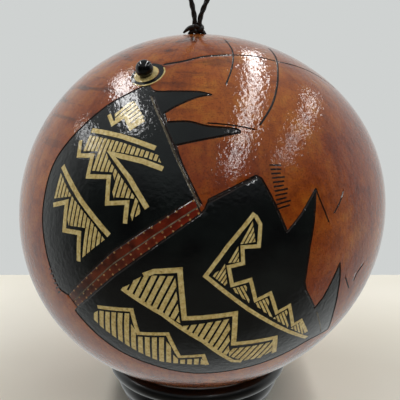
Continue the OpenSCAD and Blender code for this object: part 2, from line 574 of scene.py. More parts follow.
# The eye: the middle of its ball of stone, and the place of the skin under it
EYE_RISE = 1.9 * MM
EYE_LOW, EYE_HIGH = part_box("eye_stone")
EYE_BALL = (EYE_LOW + EYE_HIGH) / 2
EYE_UP = outward(unit((np.array(EYE_BALL) - np.array(CENTRE)) / RADII))[0]
EYE_AT = direction_under(np.array(EYE_BALL) - EYE_RISE * EYE_UP)
print("belly reaches", [round(float(skin(direction(lon, 0))[0][0]) * 1000, 2) for lon in (90, -90)], "mm")

# %% [markdown]
# ## The design on the gourd
#
# The carver divides the front with a knife before dyeing it. Each region below is an outline of
# corners, given as degrees round the gourd from the front and degrees up from its belly. Long
# round stretches are smooth curves through a few points; the zigzags are straight cuts. A straight
# cut on a ball is a stretch of a great circle.

# %% Regions: the dyed areas and the painted band
# The carved line's groove is real; its pale grey is a painted reflection of the groove's lit wall
CARVED_LINE_PAINTED_REFLECTION = [(-19.8, 47), (-16.4, 42.6), (-12.9, 37.8), (-8.3, 29.9), (-4.1, 22.3), (-1.3, 17.2)]
# A dark painted shade of the groove's other wall, cut as a second groove beside it
CARVED_LINE_PAINTED_SHADE = [(-19, 47), (-15.6, 42.6), (-12.1, 37.8), (-7.5, 29.9), (-3.4, 22.4), (-0.9, 17.8)]
BACK_CURVE = [
    (-24.4, 50.6), (-30, 47.3), (-35.5, 43.7), (-41, 38), (-46.7, 30), (-49.3, 24), (-49.8, 17.5),
    (-49, 8), (-45.8, -3), (-42.7, -10), (-38.9, -11.4),
]
BAND_TOP = [(-38.9, -11.4), (-23.4, 4.2), (-13.6, 11.7), (-2.6, 19.2)]
BAND_FOOT = [(-36, -14.8), (-22.3, -1.9), (-10.8, 7.8), (-0.9, 15.4)]
BELLY_CURVE = [
    (46.3, -27), (42, -27.4), (36.8, -28.1), (30.9, -30.7), (22.6, -33.8), (14, -35.6), (1, -36.7),
    (-8.4, -35.2), (-16.5, -32.4), (-24.1, -29), (-30, -24.6), (-33.9, -20.6), (-37.4, -16.4),
]
SPIKE_LOW = [(-8.4, 32.6), (-3.9, 33.6), (3.3, 34.9), (10.6, 36)]
SPIKE_LOW_BACK = [(10.6, 36), (9.5, 37.1), (1, 38), (-5, 39.3), (-12, 39)]
SPIKE_HIGH = [(-13.4, 41.6), (-9.9, 43.8), (-2.5, 46.9), (2.9, 47.8)]
SPIKE_HIGH_BACK = [(2.9, 47.8), (-1.7, 48.8), (-10.8, 48.9), (-19, 48.8), (-22.4, 50.8)]
TEETH = [
    (0, 16.4), (1, 18.9), (7, 21.7), (13.5, 24.5), (14.9, 23.7), (17.1, 19.1), (20.9, 9.7), (25, 13.6),
    (30.6, 19.7), (30.1, 17.6), (28.8, 11.1), (27.5, 5.2), (27, -0.6), (26.9, -4.6), (27.8, -7.2),
    (32.6, -14), (34.6, -11.3), (38.6, -1.5), (39.6, -5.5), (40.6, -11), (42.8, -19.3), (46.3, -27),
]

# %% Lines that are cut and burned, and the carved line's painted shade: (points, width, depth) in millimetres
BURNED_LINES_AND_PAINTED_SHADE = [
    ([(-19.6, 59.8), (-10.2, 61.4), (1.1, 63.9), (17.9, 64.7)], 1.15, 0.34),
    ([(17.9, 64.7), (34.1, 63.8), (46.7, 60.6), (59.4, 57.4), (69.1, 53.1), (76, 46.6)], 0.85, 0.28),
    ([(32.7, 76.7), (22.7, 67.1), (15.2, 58.7), (9.3, 51.4)], 0.6, 0.22),
    ([(66.4, 67.9), (51.6, 62.6), (38.7, 55.9), (30, 49), (24, 43.5), (17.5, 38)], 0.75, 0.26),
    ([(1, 38.9), (10.3, 37.9), (15.4, 36.7)], 0.6, 0.2),
    ([(30.7, 19.6), (31.6, 16.5), (33.8, 10.5)], 0.6, 0.2),
    ([(40.6, 17.7), (38.5, 15), (36, 12.7)], 0.6, 0.2),
    ([(51.1, -5.4), (48.4, -7.3), (47.6, -9.2)], 0.8, 0.24),
    ([(42.5, -7.1), (44.4, -9.6), (46, -11.5)], 0.6, 0.2),
    ([(-11, 81.9), (-7.3, 76.3)], 0.6, 0.15),
    # Painted shade beside the carved line, not a burn
    (CARVED_LINE_PAINTED_SHADE, 0.8, 0.3),
    ([(0.8, 18.1), (7, 21.2), (13.3, 24.2)], 1.0, 0.3),
]
PALE_CUTS_AND_PAINTED_REFLECTION = [
    # Painted reflection: the carved line's lit wall in pale grey
    (CARVED_LINE_PAINTED_REFLECTION, 0.62, 0.32),
    ([(-36.8, -12.8), (-22.9, 1.1), (-12.2, 9.7), (-2, 16.9)], 0.42, 0.2),
    ([(34.1, -15.8), (37, -20), (41.6, -25.8)], 0.45, 0.2),
]
EDGE_CUT = (0.8, 0.26)
BAND_CUT = (0.5, 0.2)
print(len(BURNED_LINES_AND_PAINTED_SHADE), "burned lines,", len(PALE_CUTS_AND_PAINTED_REFLECTION), "pale cuts")

# %% [markdown]
# ## Cutting the skin along the design
#
# A texture would blur where black meets brown, and a bump would leave the silhouette of a cut
# smooth. So the skin itself is triangulated with the design in it. All directions are laid flat
# by the stereographic projection, which keeps the shapes of small triangles, a constrained
# Delaunay triangulation keeps every outline as edges, and the flat net is wrapped back on the
# gourd. Between the outlines the points follow a sunflower spiral, which spaces them evenly.
# Points near the middle of a cut are pushed in, which leaves a V groove.

# %% Lines on the gourd, and the flat net
SKIN_STEP = 1.5 * MM
INNER_STEP = 3.5 * MM
LINE_STEP = 0.7 * MM


def flat(directions):
    d = np.atleast_2d(directions)
    return d[:, :2] / (1 + d[:, 2:3])


def wrapped(net):
    r2 = (net**2).sum(1)[:, None]
    return np.c_[2 * net, 1 - r2] / (1 + r2)


def trace(points, smooth=False):
    """Close directions along straight cuts, or one smooth curve, through (lon, lat) points."""
    stops = [direction(*p) for p in points]
    if smooth:
        stops = unit(smooth_line(stops, 8))
    out = [stops[0]]
    for a, b in zip(stops[:-1], stops[1:]):
        angle = math.acos(min(1, float(np.dot(a, b))))
        count = max(1, round(angle * BELLY / LINE_STEP))
        out += [unit(a * (1 - k / count) + b * (k / count)) for k in range(1, count + 1)]
    return np.array(out)


def joined(*lines):
    """One closed outline from lines that meet end to end."""
    out = [lines[0]]
    out += [line[1:] if np.allclose(line[0], last[-1]) else line for last, line in zip(lines, lines[1:])]
    ring = np.concatenate(out)
    return ring[:-1] if np.allclose(ring[0], ring[-1]) else ring


def beside(line, away):
    """The line moved sideways on the gourd by that distance."""
    ahead = unit(np.gradient(line, axis=0))
    return unit(line + np.cross(line, ahead) * (away / BELLY))


def ring_round(middle, radius, count):
    """Directions round a small circle on the skin, about the direction in its middle."""
    up = outward(middle)[0]
    east = unit(np.cross([0, 0, 1], up)) if abs(up[2]) < 0.99 else np.array([1.0, 0, 0])
    north = np.cross(up, east)
    a = 2 * math.pi * np.arange(count) / count
    spots = skin(middle)[0] + radius * (np.outer(np.cos(a), east) + np.outer(np.sin(a), north))
    return np.array([direction_under(s) for s in spots])


AREAS = {
    "black_back": joined(
        trace(BACK_CURVE, smooth=True),
        trace(BAND_TOP),
        trace([(-2.6, 19.2), (-7.3, 29.9), (-8.4, 32.6)]),
        trace(SPIKE_LOW, smooth=True),
        trace(SPIKE_LOW_BACK, smooth=True),
        trace([(-12, 39), (-13.4, 41.6)]),
        trace(SPIKE_HIGH, smooth=True),
        trace(SPIKE_HIGH_BACK, smooth=True),
    ),
    "black_belly": joined(
        trace([*BAND_FOOT, TEETH[0]]),
        trace(TEETH),
        trace(BELLY_CURVE, smooth=True),
        trace([BELLY_CURVE[-1], BAND_FOOT[0]]),
    ),
    "band": joined(
        trace(BAND_TOP),
        trace([BAND_TOP[-1], BAND_FOOT[-1]]),
        trace(BAND_FOOT[::-1]),
        trace([BAND_FOOT[0], BAND_TOP[0]]),
    ),
}
# The burned slot also holds the carved line's painted shade, and the pale slot its painted reflection
SLOTS = {"brown": 0, "black": 1, "band": 2, "burned": 3, "pale": 4, "bare": 5}
cuts = [(trace(line, smooth=True), wide * MM, deep * MM, "burned") for line, wide, deep in BURNED_LINES_AND_PAINTED_SHADE]
cuts += [(trace(line), wide * MM, deep * MM, "pale") for line, wide, deep in PALE_CUTS_AND_PAINTED_REFLECTION]
for name, (wide, deep) in {"black_back": EDGE_CUT, "black_belly": EDGE_CUT, "band": BAND_CUT}.items():
    ring = AREAS[name]
    cuts.append((np.concatenate([ring, ring[:1]]), wide * MM, deep * MM, "burned"))
print("outlines:", {name: len(ring) for name, ring in AREAS.items()}, "cuts:", len(cuts))


# %% The net: holes, outlines and a sunflower spiral between them
HOLE_R = 1.3 * MM
HOLE_SIDES = 20
SOCKET_R = 2.55 * MM
SOCKET_SIDES = 40
SOCKET_DEPTH = 1.0 * MM
# The net ends at this latitude, and one fan of triangles closes it below
FOOT_LAT = -86
FOOT_CLEAR = 1.5
FOOT_SIDES = 28
# The rows of an even net lie this share of a step apart, and no free point lies closer to a line
# than the second share of a step
ROW_SHARE = 0.866
CLEAR_SHARE = 0.42


def holes(inward):
    """Rings of directions round the two cord holes, and round the eye's socket on the outside."""
    rings = []
    a = 2 * math.pi * np.arange(HOLE_SIDES) / HOLE_SIDES
    for x in (-LEG, LEG):
        plan = np.c_[x + HOLE_R * np.cos(a), HOLE_R * np.sin(a)] / (BELLY - inward)
        rings.append(np.c_[plan, np.sqrt(1 - (plan**2).sum(1))])
    if inward == 0:
        rings.append(ring_round(EYE_AT, SOCKET_R, SOCKET_SIDES))
    return rings


def net(lines, rings, step):
    """Triangulates the skin. Returns its directions, its faces, and the point numbers of each ring."""
    points, edges, ring_starts = [], [], []
    for line in lines:
        first = len(points)
        points += list(line)
        edges += [(first + i, first + i + 1) for i in range(len(line) - 1)]
    foot = np.array([direction(360 * i / FOOT_SIDES, FOOT_LAT) for i in range(FOOT_SIDES)])
    for ring in [*rings, foot]:
        ring_starts.append(len(points))
        points += list(ring)
        edges += [(ring_starts[-1] + i, ring_starts[-1] + (i + 1) % len(ring)) for i in range(len(ring))]
    near = kdtree.KDTree(len(points))
    for i, p in enumerate(points):
        near.insert(p, i)
    near.balance()
    count = int(4 * math.pi * BELLY**2 / (ROW_SHARE * step**2))
    number = np.arange(count)
    rise = 1 - (2 * number + 1) / count
    turn = number * math.pi * (3 - math.sqrt(5))
    side = np.sqrt(1 - rise**2)
    spiral = np.c_[side * np.cos(turn), side * np.sin(turn), rise]
    spiral = spiral[rise > math.sin(math.radians(FOOT_LAT + FOOT_CLEAR))]
    clear = CLEAR_SHARE * step / BELLY
    points += [p for p in spiral if near.find(p)[2] > clear]
    made = delaunay_2d_cdt([Vector(p) for p in flat(np.array(points))], edges, [], 0, 1e-7)
    spots, faces, origins = made[0], made[2], made[3]
    at = {source: i for i, sources in enumerate(origins) for source in sources}
    numbers = [[at[s + i] for i in range(n)] for s, n in zip(ring_starts, [*map(len, rings), FOOT_SIDES])]
    return wrapped(np.array([tuple(p) for p in spots], float)), np.array([list(f) for f in faces]), numbers


def inside(spots, outline):
    """Which flat points lie inside a flat outline."""
    x, y = spots[:, 0], spots[:, 1]
    odd = np.zeros(len(spots), bool)
    for (ax, ay), (bx, by) in zip(outline, np.roll(outline, -1, axis=0)):
        if ay != by:
            odd ^= ((ay > y) != (by > y)) & (x < (bx - ax) * (y - ay) / (by - ay) + ax)
    return odd


lines = []
for line, wide, *_ in cuts:
    lines += [line, beside(line, wide / 2), beside(line, -wide / 2)]
outer_dirs, outer_faces, outer_rings = net(lines, holes(0.0), SKIN_STEP)
inner_dirs, inner_faces, inner_rings = net([], holes(WALL), INNER_STEP)
print(f"outside {len(outer_faces)} triangles, inside {len(inner_faces)}")

# %% Press the cuts into the skin and give each triangle its finish
CUT_SAMPLE = 0.2 * MM
# A triangle belongs to a cut if its middle lies within this share of the cut's half width
CUT_INSIDE = 0.98


def finer(line, step):
    out = []
    for a, b in zip(line[:-1], line[1:]):
        count = max(1, round(float(np.linalg.norm(b - a)) * BELLY / step))
        out += [a * (1 - k / count) + b * (k / count) for k in range(count)]
    return unit(np.array([*out, line[-1]]))


def cut_trees():
    """For each cut, a tree of close samples of its middle line."""
    trees = []
    for line, wide, deep, slot in cuts:
        samples = finer(line, CUT_SAMPLE)
        tree = kdtree.KDTree(len(samples))
        for i, p in enumerate(samples):
            tree.insert(p, i)
        tree.balance()
        trees.append((tree, wide / 2, deep, slot, samples))
    return trees


def near_cut(directions, samples, half):
    """Only the directions that can lie in a cut: those inside the box round its samples."""
    reach = half / BELLY
    low, high = samples.min(0) - reach, samples.max(0) + reach
    return np.nonzero(((directions > low) & (directions < high)).all(1))[0]


TREES = cut_trees()
depth = np.zeros(len(outer_dirs))
middles = unit(outer_dirs[outer_faces].mean(1))
finish = np.full(len(outer_faces), SLOTS["brown"])
flat_middles = flat(middles)
for area, slot in (("black_back", "black"), ("black_belly", "black"), ("band", "band")):
    finish[inside(flat_middles, flat(AREAS[area]))] = SLOTS[slot]
for tree, half, deep, slot, samples in TREES[::-1]:
    for i in near_cut(outer_dirs, samples, half):
        away = tree.find(outer_dirs[i])[2] * BELLY
        depth[i] = max(depth[i], deep * (1 - away / half))
    for i in near_cut(middles, samples, half):
        if tree.find(middles[i])[2] * BELLY < half * CUT_INSIDE:
            finish[i] = SLOTS[slot]
keep = np.ones(len(outer_faces), bool)
for ring in holes(0.0):
    keep &= ~inside(flat_middles, flat(ring))
keep_inner = np.ones(len(inner_faces), bool)
for ring in holes(WALL):
    keep_inner &= ~inside(flat(unit(inner_dirs[inner_faces].mean(1))), flat(ring))
print("triangles by finish:", {name: int((finish[keep] == n).sum()) for name, n in SLOTS.items()})


# %% Sew the outside, the inside, the holes and the socket into one closed shell
def strip(a, b):
    """Faces between two rings of point numbers."""
    n = len(a)
    return [[a[i], a[(i + 1) % n], b[(i + 1) % n], b[i]] for i in range(n)]


def sew_shell():
    outside = skin(outer_dirs) - outward(outer_dirs) * depth[:, None]
    within = skin(inner_dirs, WALL)
    points = [*map(tuple, outside), *map(tuple, within)]
    shift = len(outside)
    faces = [list(f) for f in outer_faces[keep]]
    slots = list(finish[keep])
    more = [[int(shift + v) for v in f][::-1] for f in inner_faces[keep_inner]]
    for hole in (0, 1):
        more += strip([shift + v for v in inner_rings[hole]], outer_rings[hole])
    bottom = skin(EYE_AT)[0] - outward(EYE_AT)[0] * SOCKET_DEPTH
    rim = outer_rings[2]
    drop = outward(EYE_AT)[0] * SOCKET_DEPTH
    low_rim = list(range(len(points), len(points) + SOCKET_SIDES))
    points += [tuple(np.array(points[v]) - drop) for v in rim]
    points.append(tuple(bottom))
    more += strip(low_rim, rim)
    more += [[len(points) - 1, low_rim[i], low_rim[(i + 1) % SOCKET_SIDES]] for i in range(SOCKET_SIDES)]
    for rings, inward, away in ((outer_rings, 0.0, 0), (inner_rings, WALL, shift)):
        pole = len(points)
        points.append(tuple(skin([0, 0, -1], inward)[0]))
        foot = [away + v for v in rings[-1]]
        fan = [[foot[i], foot[(i + 1) % FOOT_SIDES], pole] for i in range(FOOT_SIDES)]
        if inward:
            more += fan
        else:
            faces += fan
            slots += [SLOTS["brown"]] * len(fan)
    slots += [SLOTS["bare"]] * len(more)
    shell = mesh_object("carved_gourd", points, faces + more)
    shell.data.polygons.foreach_set("material_index", [int(s) for s in slots])
    work = bmesh.new()
    work.from_mesh(shell.data)
    loose = [v for v in work.verts if not v.link_faces]
    bmesh.ops.delete(work, geom=loose, context="VERTS")
    bmesh.ops.dissolve_degenerate(work, dist=1e-7, edges=work.edges)
    bmesh.ops.recalc_face_normals(work, faces=work.faces)
    open_edges = sum(1 for e in work.edges if len(e.link_faces) != 2)
    work.to_mesh(shell.data)
    volume = work.calc_volume(signed=True)
    work.free()
    print(f"shell: {len(shell.data.polygons)} faces, {open_edges} open edges, {volume * 1e9:.0f} mm3")
    return shell


gourd = sew_shell()
gourd.data.set_sharp_from_angle(angle=math.radians(32))

# %% [markdown]
# ## The finishes of the gourd
#
# The whole gourd is under one coat of gloss lacquer, sprayed on, which dries with a fine orange
# peel. That coat is the shader's clear coat, with its own bump, and it is the same for all the
# finishes. Under it lie: the shell itself, stained orange brown, with its natural grain running from
# pole to pole; leather dye, black with a green grey cast; a red brown stained band; burned cuts; and
# cuts made after the dyeing, which show the pale shell. Along the carved line at the black area's
# edge, the pale grey is a painted reflection of the groove's lit wall, and the dark line beside it
# is painted shade.
#
# The grain follows the meridians, so its noise reads the direction round the axis closely and the
# height loosely. That needs no UV map and has no seam.

# %% Finishes under one lacquer coat
COAT_ROUGHNESS = 0.03
# The orange peel: its finer and its slower waves in millimetres, how much the slower ones count
# beside the finer, and how high it stands
PEEL = 1.35
SLOW_PEEL = 3
SLOW_SHARE = 0.8
PEEL_HEIGHT = 0.13 * MM
# Noise stretched over the shell: its steps round the axis, and its steps in a metre of height
GRAIN_STEPS = (16.0, 45.0)
WISP_STEPS = (2.2, 420.0)
# The scraper's wisps begin and are whole at these heights, lower on the left
WISPS_FROM = CENTRE.z + 45 * MM
WISPS_WHOLE = CENTRE.z + 70 * MM
WISPS_ASIDE = -0.4


def lacquered(name, base, roughness=0.45, pits=None, coat=1.0):
    """A lacquered material. base takes (tree, place) and returns a colour; pits is (size, depth)."""
    material, tree, shader, place = new_material(name)
    feed(tree, shader, {"Base Color": base(tree, place)})
    if pits:
        size, deep = pits
        feed(tree, shader, {"Normal": relief(tree, noise(tree, place, size, 3.0), deep * MM)})
    slow = noise(tree, place, SLOW_PEEL, 1.0)
    peel = calc(tree, "MULTIPLY_ADD", slow, SLOW_SHARE, noise(tree, place, PEEL, 3.0))
    inputs = {
        "Coat Normal": relief(tree, peel, PEEL_HEIGHT),
        "Roughness": roughness,
        # Under a lacquer of nearly its own index the dyed skin hardly shines by itself
        "Specular IOR Level": 0.06,
        "Coat Weight": coat,
        "Coat Roughness": COAT_ROUGHNESS,
        "Coat IOR": 1.5,
    }
    feed(tree, shader, inputs)
    return material


def stretched_noise(tree, place, steps, detail):
    """Noise with its own steps round the gourd's axis and up its height: grain or wisps."""
    round_steps, height_steps = steps
    centred = vector_calc(tree, "SUBTRACT", place, tuple(CENTRE))
    level = vector_calc(tree, "MULTIPLY", centred, (1.0, 1.0, 0.0))
    spread = scaled(tree, vector_calc(tree, "NORMALIZE", level), round_steps)
    rise = calc(tree, "MULTIPLY", split(tree, centred)[2], height_steps)
    lift = add(tree, "ShaderNodeCombineXYZ", {2: rise}).outputs[0]
    vector = vector_calc(tree, "ADD", spread, lift)
    inputs = {"Vector": vector, "Scale": 1.0, "Detail": detail, "Roughness": 0.6}
    return add(tree, "ShaderNodeTexNoise", inputs).outputs[0]


def stained_shell(tree, place):
    # Blotches of stain of 7 mm, faint grain streaks about 5 mm wide at the belly, and slow clouds
    blotches = noise(tree, place, 7, 5.0, 0.65)
    streaks = stretched_noise(tree, place, GRAIN_STEPS, 5.0)
    clouds = noise(tree, place, 40)
    tone = ramp(tree, blotches, (0.3, "#853f10"), (0.5, "#a35415"), (0.7, "#b36d20"))
    streak = ramp(tree, streaks, (0.3, "#94664c"), (0.5, "#ffffff"))
    cloud = ramp(tree, clouds, (0.38, "#c8987c"), (0.6, "#ffffff"))
    worn = blended(tree, 0.35, tone, streak, "MULTIPLY")
    stained = blended(tree, 0.8, worn, cloud, "MULTIPLY")
    # Wisps left by the scraper round the shoulder, dark where they took more stain
    wisps = stretched_noise(tree, place, WISP_STEPS, 4.0)
    wisp = ramp(tree, wisps, (0.36, "#5c3a2c"), (0.48, "#ffffff"))
    parts = split(tree, place)
    # More of them on the bird's side than on the other
    level = calc(tree, "MULTIPLY_ADD", parts[0], WISPS_ASIDE, parts[2])
    shoulder = between(tree, level, WISPS_FROM, WISPS_WHOLE, 0.7)
    stained = blended(tree, shoulder, stained, wisp, "MULTIPLY")
    # Pores and specks of half a millimetre
    speck = ramp(tree, noise(tree, place, 0.6), (0.3, "#6a3a24"), (0.5, "#ffffff"))
    return blended(tree, 0.45, stained, speck, "MULTIPLY")


def one_noise(size, detail, *stops):
    """A base colour from one noise of that size in millimetres, through a ramp."""
    return lambda tree, place: ramp(tree, noise(tree, place, size, detail), *stops)


def red_band(tree, place):
    clouds = noise(tree, place, 5, 4.0)
    tone = ramp(tree, clouds, (0.32, "#2e160c"), (0.62, "#5e3018"))
    # Redder to the right, where more stain was left
    share = between(tree, split(tree, place)[0], -45 * MM, -5 * MM)
    red = ramp(tree, clouds, (0.32, "#3a0d06"), (0.62, "#7a2410"))
    return blended(tree, share, tone, red)


BLACK = one_noise(14, 4.0, (0.35, "#060708"), (0.7, "#131817"))
# The burned tone also paints the shade beside the carved line, and the pale tone its reflection
DARK_BURN_AND_PAINTED_SHADE = one_noise(2, 3.0, (0.3, "#120b08"), (0.75, "#2e1a10"))
PALE = one_noise(1.5, 3.0, (0.3, "#4d4338"), (0.7, "#8f8672"))
BARE = one_noise(3, 6.0, (0.3, "#a58659"), (0.7, "#d2b98a"))
# Each with its base colour, its roughness, and the size and depth of its pits in millimetres
FINISHES = {
    "brown": lacquered("stained_gourd_shell", stained_shell, 0.5, (0.8, 0.05)),
    "black": lacquered("black_leather_dye", BLACK, 0.4, (0.7, 0.06)),
    "band": lacquered("red_stained_band", red_band, 0.45, (0.8, 0.05)),
    "burned": lacquered("burned_cut", DARK_BURN_AND_PAINTED_SHADE, 0.6, (0.4, 0.06)),
    "pale": lacquered("pale_knife_cut", PALE, 0.55, (0.4, 0.06)),
    "bare": lacquered("bare_gourd_shell", BARE, 0.8, (1.5, 0.2), coat=0.0),
}
for name in SLOTS:
    gourd.data.materials.append(FINISHES[name])
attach(gourd, "gourd")
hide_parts("gourd_shell")
print("finishes:", [material.name for material in gourd.data.materials])

# %% [markdown]
# ## Painted strokes
#
# The straw gold pattern is painted with a stiff flat brush: borders with sharp corners, and rows of
# shorter bars between them. Each stroke is an outline of small faces that lies near the skin. A tree
# divides the faces, lets their points wander a little, as a hand does, drops them onto the nearest
# place of the skin and thickens them into a film of paint a tenth of a millimetre high. The same
# tree paints the rings round the eye and the knife ticks. A second tree sets out dots along a line
# and presses each small ball flat.


# %% The film tree and the dot tree
# Noise strays about a quarter from its middle value, so this brings it to the size that is asked for
NOISE_GAIN = 4.0
FILM_INPUTS = {
    "Skin": ("Object", None),
    "Middle": ("Vector", tuple(CENTRE)),
    "Height": ("Float", 0.1 * MM),
    "Sink": ("Float", 0.05 * MM),
    "Divisions": ("Int", 1),
    "Unevenness": ("Float", 0.12 * MM),
    "Seed": ("Float", 0.0),
    "Material": ("Material", None),
}
DOT_INPUTS = {
    "Skin": ("Object", None),
    "Width": ("Float", 0.8 * MM),
    "Height": ("Float", 0.1 * MM),
    "Spacing": ("Float", 3 * MM),
    "Unevenness": ("Float", 0.3),
    "Seed": ("Float", 0.0),
    "Material": ("Material", None),
}


def nearest_on_skin(tree, given):
    """The place on the skin that lies nearest to each point."""
    shape = add(tree, "GeometryNodeObjectInfo", {"Object": given["Skin"]}).outputs["Geometry"]
    inputs = {0: shape, "Sample Position": point_place(tree)}
    return add(tree, "GeometryNodeProximity", inputs, target_element="FACES").outputs["Position"]


def away_from_middle(tree, given):
    out = vector_calc(tree, "SUBTRACT", point_place(tree), given["Middle"])
    return vector_calc(tree, "NORMALIZE", out)


def seeded_noise(tree, given, size):
    """A noise node read at each point, different for each seed."""
    inputs = {"Vector": point_place(tree), "W": given["Seed"], "Scale": 1 / size}
    return add(tree, "ShaderNodeTexNoise", inputs, noise_dimensions="4D")


def film_tree():
    tree, given = new_tree("paint_film", FILM_INPUTS)
    division = {"Mesh": given["Geometry"], "Level": given["Divisions"]}
    divided = add(tree, "GeometryNodeSubdivideMesh", division).outputs[0]
    wander = seeded_noise(tree, given, 1.5 * MM).outputs["Color"]
    centred = vector_calc(tree, "SUBTRACT", wander, (0.5, 0.5, 0.5))
    drift = scaled(tree, centred, calc(tree, "MULTIPLY", given["Unevenness"], NOISE_GAIN))
    moved = add(tree, "GeometryNodeSetPosition", {"Geometry": divided, "Offset": drift}).outputs[0]
    laid = {
        "Geometry": moved,
        "Position": nearest_on_skin(tree, given),
        "Offset": scaled(tree, away_from_middle(tree, given), calc(tree, "MULTIPLY", given["Sink"], -1.0)),
    }
    sheet = add(tree, "GeometryNodeSetPosition", laid).outputs[0]
    thickness = {
        "Mesh": sheet,
        "Offset": away_from_middle(tree, given),
        "Offset Scale": calc(tree, "ADD", given["Height"], given["Sink"]),
        "Individual": False,
    }
    raised = add(tree, "GeometryNodeExtrudeMesh", thickness, mode="FACES").outputs["Mesh"]
    under = add(tree, "GeometryNodeFlipFaces", {"Mesh": sheet}).outputs[0]
    both = add(tree, "GeometryNodeJoinGeometry")
    for half in (raised, under):
        tree.links.new(half, both.inputs[0])
    seam = {"Geometry": both.outputs[0], "Distance": 0.002 * MM}
    closed = add(tree, "GeometryNodeMergeByDistance", seam).outputs[0]
    finish_tree(tree, closed, given["Material"])
    return tree


def dot_tree():
    tree, given = new_tree("row_of_dots", DOT_INPUTS)
    line = add(tree, "GeometryNodeMeshToCurve", {"Mesh": given["Geometry"]}).outputs[0]
    spacing = {"Curve": line, "Length": given["Spacing"]}
    even = add(tree, "GeometryNodeResampleCurve", spacing, mode="LENGTH").outputs[0]
    wander = calc(tree, "SUBTRACT", seeded_noise(tree, given, 2 * MM).outputs[0], 0.5)
    spread = calc(tree, "MULTIPLY", given["Unevenness"], NOISE_GAIN)
    factor = calc(tree, "MULTIPLY_ADD", wander, spread, 1.0)
    radius = calc(tree, "MULTIPLY", given["Width"], 0.5)
    ball = add(tree, "GeometryNodeMeshIcoSphere", {"Radius": radius, "Subdivisions": 2}).outputs[0]
    row = {"Points": even, "Instance": ball, "Scale": factor}
    dots = add(tree, "GeometryNodeInstanceOnPoints", row).outputs[0]
    real = add(tree, "GeometryNodeRealizeInstances", {"Geometry": dots}).outputs[0]
    share = calc(tree, "DIVIDE", given["Height"], radius)
    press = {0: share, 4: nearest_on_skin(tree, given), 5: point_place(tree)}
    spot = add(tree, "ShaderNodeMix", press, data_type="VECTOR").outputs[1]
    flattened = add(tree, "GeometryNodeSetPosition", {"Geometry": real, "Position": spot}).outputs[0]
    finish_tree(tree, flattened, given["Material"])
    return tree


def smooth_skin():
    """The gourd's skin without its cuts, which the paint is laid on."""
    rows, steps = 140, 280
    lats = [-88 + 176 * r / rows for r in range(rows + 1)]
    dirs = [direction(360 * i / steps, lat) for lat in lats for i in range(steps)]
    faces = []
    for low in range(0, rows * steps, steps):
        high = low + steps
        faces += [[low + i, low + (i + 1) % steps, high + (i + 1) % steps, high + i] for i in range(steps)]
    return mesh_object("smooth_skin", skin(np.array(dirs)), faces)


FILM_TREE = film_tree()
DOT_TREE = dot_tree()
SKIN = smooth_skin()
SKIN.hide_render = True


def painted(name, patches, material, divisions=1, unevenness=0.05, seed=0.0, height=0.1):
    """One film on the skin from patches, each a list of directions round it. Sizes are in mm."""
    corners = np.concatenate([np.array(patch) for patch in patches])
    numbers = iter(range(len(corners)))
    faces = [[next(numbers) for _ in patch] for patch in patches]
    guide = mesh_object("paint_guide", skin(corners), faces)
    work = bmesh.new()
    work.from_mesh(guide.data)
    bmesh.ops.remove_doubles(work, verts=work.verts, dist=0.01 * MM)
    work.to_mesh(guide.data)
    work.free()
    sizes = {"height": height * MM, "unevenness": unevenness * MM, "divisions": divisions}
    film = grow(guide, FILM_TREE, name, skin=SKIN, seed=seed, material=material, **sizes)
    film.data.set_sharp_from_angle(angle=math.radians(50))
    return film


# %% [markdown]
# ## Straw gold paint
#
# The paint is a mica gold in a straw coloured binder: not a metal, but with a soft metallic share,
# mottled where the brush left it thin and the black shows through. It lies under the same lacquer.


# %% Straw gold, dot and tick materials
def straw_gold(tree, place):
    patches = noise(tree, place, 1.2, 4.0, 0.7)
    return ramp(tree, patches, (0.28, "#8a6f3a"), (0.42, "#c9ae6c"), (0.68, "#e6d49b"))


GOLD = lacquered("straw_gold_paint", straw_gold, 0.42, (0.5, 0.04))
GOLD.node_tree.nodes["Principled BSDF"].inputs["Metallic"].default_value = 0.1
TAN = lacquered("tan_dot_paint", one_noise(0.8, 2.0, (0.3, "#7c5230"), (0.7, "#b58c58")), 0.5)

